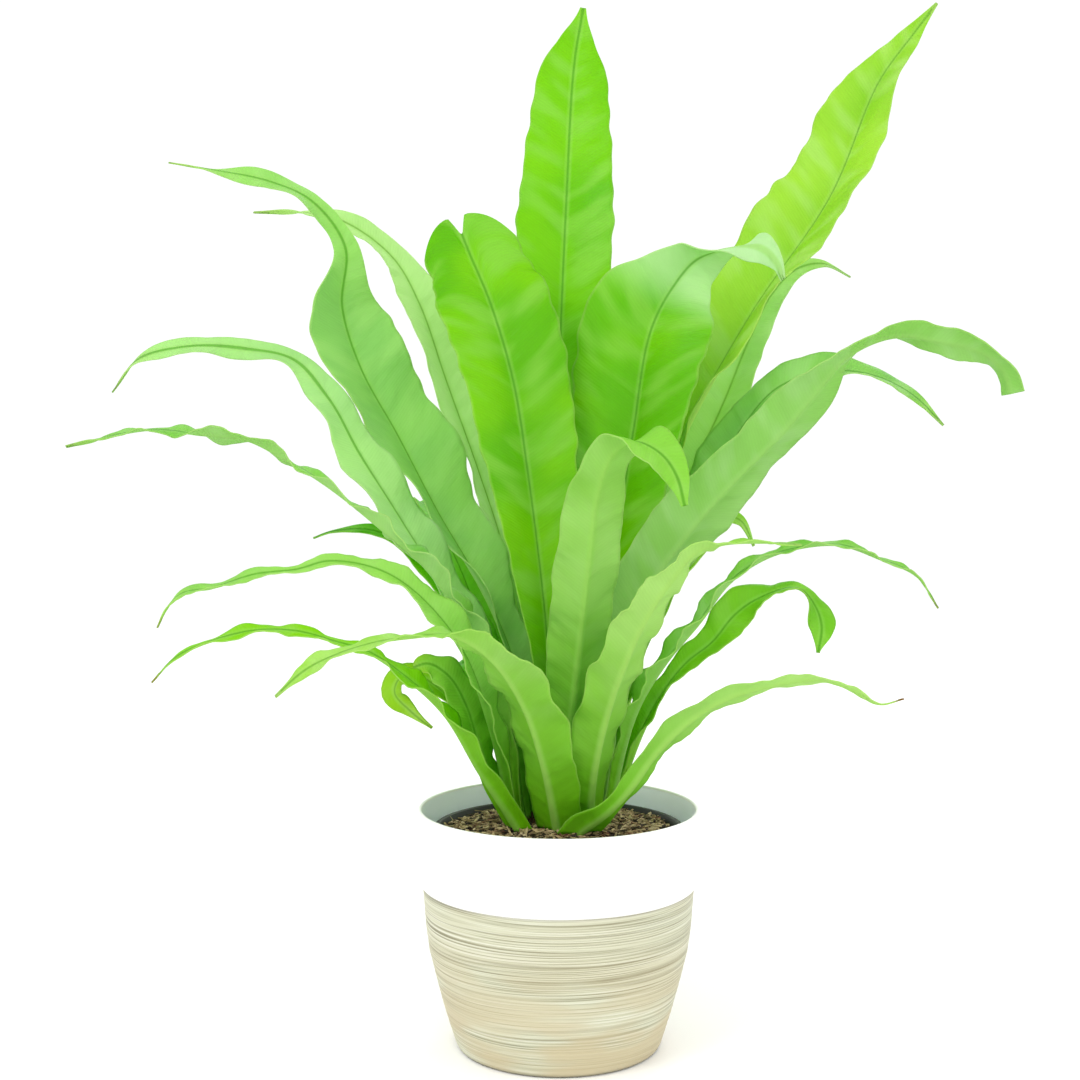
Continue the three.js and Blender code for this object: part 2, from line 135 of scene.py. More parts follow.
def buildStudio():
    world = bpy.data.worlds.new("studio")
    world.use_nodes = True
    bpy.context.scene.world = world
    sky = world.node_tree.nodes["Background"]
    sky.inputs["Color"].default_value = linear(studio["sky"][0])
    sky.inputs["Strength"].default_value = studio["sky"][1]
    for name, place, size, watts in studio["softboxes"]:
        lamp = bpy.data.objects.new(name, bpy.data.lights.new(name, "AREA"))
        lamp.data.shape = "DISK"
        lamp.data.size = size
        lamp.data.energy = watts
        lamp.location = place
        lamp.rotation_euler = (Vector(studio["aim"]) - Vector(place)).to_track_quat("-Z", "Y").to_euler()
        bpy.context.scene.collection.objects.link(lamp)
    bm = bmesh.new()
    bmesh.ops.create_grid(bm, x_segments=1, y_segments=1, size=studio["floorSize"] / 2)
    floor = bpy.data.objects.new("floor", meshFrom(bm, "floor"))
    paper, tree = newMaterial("white_paper_sweep")  # matt seamless paper, so no shine and a faint tooth
    tooth = addNode(tree, "TexNoise", {"Scale": 900.0, "Detail": 2.0})
    grain = addNode(tree, "Bump", {"Strength": 0.05, "Distance": 0.0002, "Height": tooth})
    skin = addNode(tree, "BsdfPrincipled", {
        "Base Color": "#fdfdfc", "Roughness": 0.9, "Specular IOR Level": 0.2, "Normal": grain})
    addNode(tree, "OutputMaterial", {"Surface": skin})
    floor.data.materials.append(paper)
    bpy.context.scene.collection.objects.link(floor)


buildStudio()
print("camera, light and floor ready")

# Fronds

# Leaf colours, as sRGB hex: deep and fresh tissue and the painted sheen (pale patchy highlight) on the upper side,
# the tissue, painted sheen and keel of the underside, and the line along the upper midrib
leafHues = {
    "brightGreen": {"deep": "#6cc200", "fresh": "#88d400", "sheen": "#98d84c", "under": "#8ed030",
                    "underSheen": "#aade6a", "keel": "#aade66", "line": "#4a980c"},
    "deepGreen": {"deep": "#4cae00", "fresh": "#72cc00", "sheen": "#8cd252", "under": "#7cc428",
                  "underSheen": "#9cd45c", "keel": "#9cd45c", "line": "#3c8a0c"},
    "youngGreen": {"deep": "#8cd01c", "fresh": "#a8de34", "sheen": "#c0e888", "under": "#9ad638",
                   "underSheen": "#bce47c", "keel": "#b8e274", "line": "#68a42c"},
    "blueGreen": {"deep": "#64ba24", "fresh": "#8ad03e", "sheen": "#a8dc80", "under": "#8aca42",
                  "underSheen": "#acd882", "keel": "#a8d874", "line": "#4f9430"},
}
leaf = {
    "surface": 0.45,  # the grid stands this far above the blade's middle
    "sheet": 0.8,  # thickness of the blade
    "keel": 1.7,  # extra thickness of the midrib at the foot
    "ribHalf": 1.2,
    "tipHalf": 0.9,
    "rowStep": 2.1,
    "columnStep": 2.6,
    "pleatPitch": 15,
    "pleatHeight": 0.3,
    "crinklePitch": 8.5,
    "crinkleHeight": 0.55,
    "pleatSlope": 0.55,  # how far a pleat runs towards the tip for each millimetre out
    "veinPitch": 2.0,  # really about 1.2, drawn coarser so that it shows
    "camber": 0.05,
}

# From the middle of the crown outwards; the same values as the solids
#   out, root, rib   lean in degrees, where the stalk stands, and the points of the midrib
#   halves           half widths at even steps from foot to tip
#   fold, turn       degrees that the halves are raised, and that the blade is turned about its midrib, if any
#   ruffle           waves along the margin and their height
fronds = [
    # inner ring, upright
    {"name": "tall_back", "out": 88, "root": (2, 14), "skin": "brightGreen",
      "rib": [(2, 22, 207), (1, 40, 290), (0, 62, 362), (2, 82, 432), (6, 98, 522), (11, 110, 609),
        (17, 112, 647)],
      "halves": [5, 7, 10, 13, 17, 22, 28, 31, 33, 32, 28, 22, 2], "fold": [40, 12],
      "ruffle": (3, 2.5)},
    {"name": "notched", "out": 105, "root": (-6, -4), "skin": "brightGreen",
      "rib": [(-5, -3, 209), (-8, 3, 257), (-19, 16, 348), (-28, 27, 403), (-42, 37, 450), (-55, 44, 481),
        (-64, 46, 504)],
      "halves": [5, 9, 15, 22, 28, 33, 36, 37, 32], "notch": 0.03, "round": 0.06, "fold": [45, 8],
      "turn": [0, 0, 5], "ruffle": (4, 1.3)},
    {"name": "curled_tip", "out": 70, "root": (8, 1), "skin": "brightGreen",
      "rib": [(14, 6, 197), (25, 16, 251), (37, 28, 311), (47, 39, 372), (58, 47, 434), (73, 49, 463),
        (86, 43, 478), (103, 28, 483), (120, 13, 482), (129, 1, 472), (132, -6, 461)],
      "halves": [5, 8, 12, 19, 26, 34, 40, 43, 41, 17, 12, 2], "fold": [45, 8],
      "turn": [0, 0, 0, 0, 0, 18, 30], "ruffle": (4, 3)},
    {"name": "tall_right", "out": 35, "root": (13, 11), "skin": "youngGreen",
      "rib": [(25, 26, 220), (51, 48, 304), (81, 64, 370), (125, 80, 447), (177, 94, 523), (208, 101, 596),
        (230, 102, 627), (245, 100, 647)],
      "halves": [5, 10, 19, 30, 36, 37, 34, 22, 1], "fold": [45, 30],
      "turn": [0, 0, 15, 35], "ruffle": (7, 4)},
    {"name": "twisted_left", "out": 140, "root": (-13, 11), "skin": "brightGreen",
      "rib": [(-22, 21, 209), (-41, 37, 261), (-77, 61, 321), (-103, 75, 369), (-127, 83, 412), (-139, 86, 452),
        (-136, 80, 489), (-155, 70, 516), (-180, 60, 527), (-212, 45, 532), (-238, 34, 535)],
      "halves": [5, 7, 11, 18, 26, 32, 35, 32, 29, 8, 8, 7, 1], "fold": [45, 45, 40, 30, 25, 20, 10, 5, 5],
      "turn": [0, 0, 0, 0, -8, -15, -20, -20, -10], "ruffle": (7, 4)},
    {"name": "pale_left", "out": 122, "root": (-10, 19), "skin": "youngGreen",
      "rib": [(-22, 46, 225), (-34, 79, 290), (-53, 105, 347), (-75, 123, 407), (-92, 126, 456),
        (-110, 128, 487), (-140, 120, 509), (-165, 110, 514), (-197, 98, 513)],
      "halves": [5, 8, 12, 16, 20, 21, 16, 7, 1], "fold": [45, 15],
      "turn": [0, 10, 0], "ruffle": (6, 3)},
    {"name": "pale_right", "out": 48, "root": (14, 20), "skin": "youngGreen",
      "rib": [(32, 42, 218), (56, 66, 271), (86, 92, 340), (111, 110, 392), (128, 122, 432), (144, 131, 463),
        (161, 134, 480), (178, 132, 483), (196, 128, 474)],
      "halves": [5, 9, 16, 23, 25, 22, 14, 9, 1], "fold": [45, 15],
      "turn": [0, 0, 20, 50], "ruffle": (6, 3)},
    {"name": "front_folded", "out": 278, "root": (3, -17), "skin": "brightGreen",
      "rib": [(6, -33, 191), (12, -46, 252), (17, -58, 299), (22, -68, 339), (30, -78, 359), (41, -88, 365),
        (55, -95, 358), (63, -98, 346), (67, -98, 331)],
      "halves": [8, 12, 16, 19, 20, 20, 18, 13, 13, 2], "fold": [35, 12],
      "ruffle": (8, 2)},
    {"name": "broad_right", "out": 345, "root": (18, -9), "skin": "blueGreen",
      "rib": [(28, -16, 217), (52, -19, 277), (78, -23, 314), (101, -28, 341), (130, -32, 371), (148, -40, 394),
        (165, -46, 414), (189, -53, 424), (213, -58, 421), (238, -61, 414), (249, -62, 403), (252, -62, 392)],
      "halves": [6, 12, 19, 24, 24, 22, 20, 15, 9, 11, 9], "fold": [40, 10],
      "turn": [0, -30, -60, -60, -58, -56, -50, -40, -20, -35, -50], "ruffle": (5, 4)},
    {"name": "arched_left", "out": 157, "root": (-20, 3), "skin": "brightGreen",
      "rib": [(-34, 10, 207), (-61, 11, 258), (-97, 16, 316), (-124, 28, 358), (-143, 39, 391), (-164, 46, 414),
        (-191, 44, 421), (-227, 36, 422), (-256, 30, 414), (-271, 26, 394)],
      "halves": [5, 10, 16, 21, 21, 13, 7, 8, 1], "fold": [20, 20, 10, 5, 5],
      "turn": [0, 0, 0, -5, -15, -30, -45, -50, -30], "ruffle": (8, 3)},
    {"name": "arched_right", "out": 22, "root": (24, 5), "skin": "blueGreen",
      "rib": [(41, 15, 210), (66, 26, 272), (92, 42, 328), (116, 54, 373), (140, 62, 399), (172, 64, 409),
        (200, 62, 406), (223, 58, 394), (242, 54, 375)],
      "halves": [5, 9, 14, 18, 18, 15, 13, 10, 1], "fold": [45, 15],
      "turn": [0, 15, 50], "ruffle": (5, 3)},
    # middle ring
    {"name": "long_left", "out": 175, "root": (-24, -7), "skin": "blueGreen",
      "rib": [(-38, -15, 206), (-55, -18, 255), (-78, -21, 291), (-105, -15, 314), (-138, 3, 338),
        (-165, 11, 354), (-189, 13, 366), (-217, 12, 369), (-244, 10, 372), (-270, 8, 368), (-296, 6, 362)],
      "halves": [5, 9, 12, 11, 8, 7, 8, 6, 1], "fold": [40, 40, 20, 10, 10],
      "turn": [0, 25, 25, 10, 20, 0, 30, -20, 20], "ruffle": (10, 4)},
    {"name": "short_left", "out": 160, "root": (-21, 12), "skin": "deepGreen",
      "rib": [(-42, 31, 230), (-74, 46, 278), (-97, 52, 300), (-118, 54, 309), (-142, 54, 308),
        (-154, 54, 304)],
      "halves": [4, 6, 8, 11, 9, 5, 1], "fold": [45, 15],
      "turn": [0, -45, -30], "ruffle": (5, 2)},
    {"name": "wavy_left", "out": 188, "root": (-27, -16), "skin": "brightGreen",
      "rib": [(-41, -28, 200), (-57, -35, 245), (-81, -33, 275), (-105, -26, 290), (-135, -23, 295),
        (-154, -22, 290), (-179, -22, 287), (-204, -22, 279), (-221, -22, 276), (-230, -22, 268),
        (-236, -22, 256)],
      "halves": [5, 9, 12, 13, 9, 5, 4, 6, 1], "fold": [40, 10],
      "turn": [0, -40, -40, 0], "ruffle": (8, 3)},
    {"name": "front_left", "out": 232, "root": (-1, -28), "skin": "youngGreen",
      "rib": [(-10, -48, 182), (-21, -61, 216), (-39, -78, 245), (-60, -90, 259), (-82, -98, 259),
        (-103, -102, 256), (-122, -105, 250), (-138, -106, 242), (-154, -106, 228)],
      "halves": [15, 18, 21, 22, 17, 9, 6, 7, 1], "fold": [20, 10],
      "turn": [20, 0, 0, 0, 0], "ruffle": (7, 2.5)},
    {"name": "front_right", "out": 300, "root": (18, -21), "skin": "youngGreen",
      "rib": [(21, -40, 176), (28, -50, 210), (36, -60, 236), (48, -69, 265), (62, -77, 288), (75, -82, 304),
        (90, -86, 309), (110, -88, 310), (132, -90, 309)],
      "halves": [12, 14, 17, 18, 18, 17, 15, 9, 6, 5, 1], "fold": [30, 10],
      "ruffle": (8, 2.5)},
    {"name": "grey_right", "out": 350, "root": (29, -10), "skin": "blueGreen",
      "rib": [(45, -20, 204), (62, -22, 234), (83, -24, 260), (99, -26, 282), (118, -28, 296), (138, -30, 303),
        (163, -32, 305), (186, -34, 297), (207, -36, 287), (219, -37, 269)],
      "halves": [4, 7, 10, 9, 7, 6, 5, 4, 1], "fold": [45, 15],
      "turn": [0, 20, 0], "ruffle": (10, 3)},
    {"name": "bent_right", "out": 2, "root": (31, 1), "skin": "brightGreen",
      "rib": [(55, 0, 200), (76, 4, 230), (93, 5, 244), (107, 5, 261), (122, 4, 271), (143, 0, 277),
        (152, -6, 268), (156, -10, 256), (154, -12, 240)],
      "halves": [4, 7, 9, 10, 9, 8, 9, 12, 13, 9, 5, 10, 1], "fold": [45, 15],
      "turn": [0, 12, 22, 32, 42, 55, 62, 45, 5, 65, 80], "ruffle": (6, 2.5)},
    # outer ring, low
    {"name": "low_right", "out": 338, "root": (11, -35), "skin": "youngGreen",
      "rib": [(29, -46, 152), (42, -46, 166), (55, -44, 184), (76, -42, 204), (99, -40, 217), (125, -38, 224),
        (151, -38, 227), (170, -38, 221), (186, -38, 213), (200, -38, 216)],
      "halves": [13, 8, 8, 9, 8, 7, 5, 4, 1], "fold": [15, 20, 10, 10],
      "turn": [-48, -36, -40, -42, -38, -34, -30, -10], "ruffle": (6, 2)},
    {"name": "low_left", "out": 197, "root": (-24, -26), "skin": "brightGreen",
      "rib": [(-47, -38, 175), (-66, -44, 208), (-87, -48, 229), (-109, -52, 245), (-129, -56, 252),
        (-151, -58, 258), (-175, -60, 258), (-201, -60, 251), (-219, -60, 242), (-231, -60, 229)],
      "halves": [8.5, 9, 12, 12, 8, 4, 5, 6, 3, 1], "fold": [20, 10],
      "turn": [50, 0, -30, -20, 0], "ruffle": (8, 3)},
    {"name": "yellow_tip", "out": 175, "root": (-32, 1), "skin": "youngGreen",
      "rib": [(-51, 3, 189), (-64, 4, 207), (-81, 7, 221), (-95, 9, 222), (-99, 10, 213), (-90, 11, 202),
        (-77, 12, 191)],
      "halves": [4, 5, 6, 8, 10, 8, 1], "fold": [40, 10],
      "turn": [0, -30, -60], "ruffle": (4, 2)},
    {"name": "blunt_left", "out": 190, "root": (-31, -9), "skin": "brightGreen",
      "rib": [(-48, -16, 184), (-55, -17, 208), (-65, -18, 226), (-77, -19, 234), (-86, -20, 232)],
      "halves": [5, 8, 11, 12, 12, 11, 7], "round": 0.06, "fold": [20, 5],
      "turn": [0, -50, -50], "ruffle": (5, 2)},
    {"name": "small_right", "out": 22, "root": (25, 11), "skin": "youngGreen",
      "rib": [(46, 27, 212), (63, 38, 260), (84, 48, 297), (103, 56, 317), (115, 58, 315), (124, 58, 299)],
      "halves": [4, 6, 8, 9, 10, 9, 1], "fold": [45, 15],
      "turn": [0, 20, 60], "ruffle": (5, 2)},
    {"name": "small_left", "out": 140, "root": (-25, 15), "skin": "brightGreen",
      "rib": [(-44, 38, 208), (-65, 60, 257), (-85, 76, 300), (-97, 84, 324), (-103, 87, 324), (-107, 89, 309)],
      "halves": [4, 6, 8, 10, 8, 6, 1], "fold": [45, 15],
      "turn": [0, -30, -40], "ruffle": (5, 2)},
    # behind
    {"name": "rear_tall_left", "out": 103, "root": (-3, 25), "skin": "brightGreen",
      "rib": [(-6, 66, 222), (-13, 114, 300), (-32, 158, 366), (-54, 196, 394), (-74, 230, 386),
        (-88, 256, 356)],
      "halves": [5, 10, 17, 23, 24, 21, 14, 8, 1], "fold": [45, 15],
      "ruffle": (6, 3.5)},
    {"name": "rear_tall_right", "out": 76, "root": (6, 26), "skin": "brightGreen",
      "rib": [(24, 65, 222), (37, 103, 290), (42, 144, 340), (52, 186, 356), (64, 222, 340), (72, 244, 306)],
      "halves": [5, 9, 15, 20, 20, 16, 10, 1], "fold": [45, 15],
      "ruffle": (6, 3.5)},
    {"name": "rear_left", "out": 122, "root": (-19, 22), "skin": "brightGreen",
      "rib": [(-38, 58, 212), (-62, 98, 276), (-83, 136, 312), (-95, 172, 322), (-103, 202, 312),
        (-106, 222, 292)],
      "halves": [4, 8, 13, 15, 14, 11, 7, 1], "fold": [45, 15],
      "ruffle": (8, 3)},
    {"name": "rear_low_middle", "out": 84, "root": (2, 31), "skin": "youngGreen",
      "rib": [(6, 64, 186), (10, 98, 232), (14, 138, 254), (18, 178, 246), (20, 210, 216), (20, 224, 190)],
      "halves": [5, 9, 13, 14, 12, 8, 1], "fold": [45, 10],
      "ruffle": (8, 3)},
    {"name": "rear_low_left", "out": 116, "root": (-11, 29), "skin": "deepGreen",
      "rib": [(-19, 64, 188), (-31, 104, 228), (-48, 138, 245), (-60, 176, 232), (-66, 204, 202)],
      "halves": [5, 9, 12, 13, 11, 7, 1], "fold": [45, 10],
      "ruffle": (7, 3)},
    {"name": "rear_low_right", "out": 66, "root": (19, 25), "skin": "brightGreen",
      "rib": [(32, 58, 190), (40, 92, 224), (46, 128, 234), (48, 160, 220), (48, 184, 188)],
      "halves": [5, 9, 12, 13, 11, 7, 1], "fold": [45, 10],
      "ruffle": (7, 3)},
    {"name": "rear_small", "out": 128, "root": (-31, 10), "skin": "deepGreen",
      "rib": [(-57, 33, 180), (-64, 62, 207), (-68, 98, 216), (-72, 130, 205), (-74, 152, 180)],
      "halves": [4, 7, 10, 11, 9, 6, 1], "fold": [45, 10],
      "ruffle": (7, 3)},
]
crownTop = 136.3  # the stalks' feet

# How pale and how yellow a blade is, and how brown its tip, for those that differ from the rest; the paleness is
# partly the blade's own paler tissue and partly painted light: painted glare on twisted_left, painted light
# shining through on pale_left
tones = {
    "tall_right": (0.1, 0.3, 0), "twisted_left": (0.4, 0, 0.3), "pale_left": (0.95, 0.2, 0.2),
    "pale_right": (0.5, 0, 0), "arched_left": (0.6, 0, 0.3), "arched_right": (0.25, 0, 0.2),
    "long_left": (0.15, 0, 0.2), "wavy_left": (0.3, 0.1, 0.6), "front_left": (0.2, 0.1, 0),
    "broad_right": (0.15, 0, 0), "front_right": (0.2, 0.1, 0), "grey_right": (0.1, 0, 0.6),
    "bent_right": (0.05, 0.1, 0), "low_right": (0.45, 0.25, 1), "low_left": (0, 0.1, 0.8),
    "yellow_tip": (0, 0.6, 0.2), "blunt_left": (0.3, 0.3, 0.3), "small_right": (0.1, 0.15, 0),
    "front_folded": (0.15, 0.05, 0), "rear_low_middle": (0.1, 0.2, 0.5), "rear_left": (0.1, 0, 0.4),
}
# How strongly a blade is crinkled; the rest 0.3
crinkled = {
    "front_folded": 0.8, "front_left": 0.8, "front_right": 1, "low_right": 0.7, "low_left": 0.8, "wavy_left": 1,
    "arched_left": 0.7, "grey_right": 0.8, "bent_right": 0.8, "long_left": 0.7,
}
# The share of its small waves that a blade keeps where it passes close to another
calm = {"arched_left": 0.25, "twisted_left": 0.25, "small_right": 0.5}
aside = {"arched_left": 1.8}  # millimetres that a blade gives way to its neighbour
flops = {"curled_tip": 0.72}  # the share of its length past which a blade flops over, with a whiter back


def easeBetween(low, high, x):
    t = np.clip((x - low) / (high - low), 0, 1)
    return t * t * (3 - 2 * t)


def valueAlong(values, s):
    # values that stand at even steps from 0 to 1, joined smoothly
    values = np.array(values, float)
    place = np.minimum(s, 0.9999) * (len(values) - 1)
    i = place.astype(int)
    t = place - i
    a, b, c, d = (values[np.clip(i + k, 0, len(values) - 1)] for k in (-1, 0, 1, 2))
    return b + 0.5 * t * (c - a + t * (2 * a - 5 * b + 4 * c - d + t * (3 * (b - c) + d - a)))


def ribAt(points, t):
    # centripetal spline through the midrib's points, at share t of its spans
    place = np.clip(t, 0, 1) * (len(points) - 1)
    i = np.minimum(place.astype(int), len(points) - 2)
    w = (place - i)[:, None]
    padded = np.vstack([2 * points[0] - points[1], points, 2 * points[-1] - points[-2]])
    p0, p1, p2, p3 = (padded[i + k] for k in range(4))
    gaps = [np.sqrt(np.linalg.norm(b - a, axis=1, keepdims=True)) for a, b in ((p0, p1), (p1, p2), (p2, p3))]
    leave = ((p1 - p0) / gaps[0] - (p2 - p0) / (gaps[0] + gaps[1]) + (p2 - p1) / gaps[1]) * gaps[1]
    reach = ((p2 - p1) / gaps[1] - (p3 - p1) / (gaps[1] + gaps[2]) + (p3 - p2) / gaps[2]) * gaps[1]
    return (p1 + leave * w + (3 * (p2 - p1) - 2 * leave - reach) * w ** 2
            + (2 * (p1 - p2) + leave + reach) * w ** 3)


def unit(vectors):
    return vectors / np.linalg.norm(vectors, axis=1, keepdims=True)


def frondShape(frond, s, column, columns):
    # places, the leaf's own coordinates and its thickness, for rows at share s and columns across the blade
    points = np.array([(*frond["root"], crownTop)] + frond["rib"], float)
    steps = np.linspace(0, 1, 401)
    lengths = np.concatenate([[0], np.cumsum(np.linalg.norm(np.diff(ribAt(points, steps), axis=0), axis=1))])
    rng = random.Random("frond_" + frond["name"])
    seeds = [rng.uniform(0, 2 * math.pi) for _ in range(9)]

    half = np.maximum(leaf["tipHalf"], valueAlong(frond["halves"], s))
    along = s * lengths[-1]
    frayed = 1 + 0.025 * np.sin(along / 5.3 + seeds[0]) * np.sin(along / 17 + seeds[1])
    frayed += 0.012 * np.sin(along / 2.9 + seeds[2])
    half = half * np.where(half > 2, frayed, 1)
    ribHalf = np.minimum(leaf["ribHalf"], 0.4 * half)
    # two columns on each side of the midrib keep its line sharp, and the rest are even to the margin
    outer = columns // 2
    step = np.abs(column - outer)
    reach = np.where(step <= 2, step / 2 * ribHalf, ribHalf + (step - 2) / (outer - 2) * (half - ribHalf))
    sign = np.sign(outer - column)
    v = reach / half

    cleft = frond.get("notch", 0) * (1 - easeBetween(0, 0.2, v))
    corner = frond.get("round", 0) * v ** 2.5
    share = s - (cleft + corner) * easeBetween(0.8, 1, s)
    t = np.interp(share * lengths[-1], lengths, steps)
    tangent = unit(ribAt(points, t + 1e-4) - ribAt(points, t - 1e-4))
    rise = (1 - easeBetween(0, 0.04, s))[:, None]
    tangent = unit(tangent * (1 - rise) + np.array([0, 0, 1]) * rise)
    lean = math.radians(frond["out"])
    side = np.array([-math.sin(lean), math.cos(lean), 0])
    width = unit(side - tangent * (tangent @ side)[:, None])
    turn = np.radians(valueAlong(frond.get("turn", [0]), s))[:, None]
    width = width * np.cos(turn) + np.cross(tangent, width) * np.sin(turn)
    face = np.cross(tangent, width)

    fold = np.radians(valueAlong(frond["fold"], s))
    waves, height = frond["ruffle"]
    phase = np.where(sign < 0, 0, 2.1)
    ruffled = height * easeBetween(0.03, 0.3, s) * np.minimum(1, half / 10)
    wave = ruffled * v ** 1.5 * np.sin(2 * math.pi * waves * s + phase)
    ripple = np.sin(2 * math.pi * waves * 2.7 * s + sign * 1.3 + seeds[3])
    ripple *= 0.6 + 0.4 * np.sin(along / 31 + seeds[4])
    small = 0.28 * ruffled * v ** 3 * ripple
    bend = np.sin(along / 43 + seeds[5]) + 0.6 * np.sin(along / 19 + seeds[6])
    pleat = np.sin(2 * math.pi * (along - leaf["pleatSlope"] * reach) / leaf["pleatPitch"] + bend + sign)
    firm = easeBetween(0.08, 0.3, s) * np.minimum(1, half / 14)
    firm *= 0.55 + 0.45 * np.sin(along / 37 + seeds[8] + 2 * sign)
    small += leaf["pleatHeight"] * firm * easeBetween(0.02, 0.5, v) * pleat
    drift = 1.9 * np.sin(along / 23 + seeds[7])
    folds = np.sin(2 * math.pi * (along - 0.5 * reach) / leaf["crinklePitch"] + drift + 2 * sign)
    folds *= crinkled.get(frond["name"], 0.3) * (0.55 + 0.45 * np.sin(along / 29 + seeds[8] - sign))
    small += leaf["crinkleHeight"] * easeBetween(0.08, 0.3, s) * np.minimum(1, half / 10) * v ** 0.8 * folds
    small += leaf["camber"] * half * np.sin(math.pi * v) * easeBetween(0.1, 0.4, s)
    wave += small * calm.get(frond["name"], 1)
    # the midrib stands up a little
    wave += 0.3 * (1 - easeBetween(0.3, 1.0, reach / ribHalf)) * easeBetween(0.02, 0.1, s)

    rib = ribAt(points, t)
    places = rib + width * (sign * reach * np.cos(fold))[:, None]
    places = places + face * (reach * np.sin(fold) + wave)[:, None]
    keelReach = 1.9 + 2.6 * (1 - s) ** 3
    thick = leaf["sheet"] + leaf["keel"] * (1 - s) * (1 - easeBetween(0.2, 1, reach / keelReach))
    return places, np.stack([sign * reach, along, v], 1), thick


def buildFrond(frond):
    # a flat grid laid along the midrib, then thickened downwards
    longest = sum(math.dist(a, b) for a, b in zip([(*frond["root"], crownTop)] + frond["rib"], frond["rib"]))
    rows = round(longest / leaf["rowStep"])
    columns = 4 + 2 * max(4, round(max(frond["halves"]) / leaf["columnStep"]))
    bm = bmesh.new()
    bmesh.ops.create_grid(bm, x_segments=columns, y_segments=rows, size=1)
    mesh = meshFrom(bm, "blade")
    flat = vertexPlaces(mesh)
    column = np.round((flat[:, 0] + 1) / 2 * columns)
    row = np.round((flat[:, 1] + 1) / 2 * rows)
    s = 1 - (1 - row / rows) ** 1.2
    places, inLeaf, thick = frondShape(frond, s, column, columns)

    order = (row * (columns + 1) + column).astype(int)
    surface = np.empty((rows + 1, columns + 1, 3))
    surface.reshape(-1, 3)[order] = places
    normal = np.cross(np.gradient(surface, axis=0), -np.gradient(surface, axis=1)).reshape(-1, 3)[order]
    normal[row == 0, 2] = 0  # a level foot
    shift = aside.get(frond["name"], 0) * easeBetween(0.02, 0.2, s)[:, None]
    places = places + unit(normal) * (leaf["surface"] + shift)
    mesh.vertices.foreach_set("co", (places * mm).ravel())
    mesh.update()
    setAttribute(mesh, "leafPlace", inLeaf)
    setAttribute(mesh, "leafTone", leafTone(frond, s))

    piece = finishPiece("blade_" + frond["name"], mesh, frondSkins[frond["skin"]],
                        ["frond_" + frond["name"]])
    thickest = leaf["sheet"] + leaf["keel"]
    group = piece.vertex_groups.new(name="thickness")
    shares = np.round(thick / thickest, 2)
    for share in np.unique(shares):
        group.add(np.nonzero(shares == share)[0].tolist(), float(share), "REPLACE")
    wall = piece.modifiers.new("thickness", "SOLIDIFY")
    wall.thickness = thickest * mm
    wall.offset = -1
    wall.vertex_group = "thickness"
    wall.material_offset = 1
    wall.material_offset_rim = 1
    return piece


def leafTone(frond, s):
    # paleness, yellowness and the brown of the tip, for each vertex
    pale, yellow, brown = tones.get(frond["name"], (0, 0, 0))
    flop = flops.get(frond["name"], 2)
    paleness = pale + 0.75 * easeBetween(flop, flop + 0.07, s)
    yellowness = yellow + 0.35 * easeBetween(0.9, 1, s) * (brown > 0)
    return np.stack([paleness, yellowness, brown * easeBetween(0.955, 0.995, s)], 1)


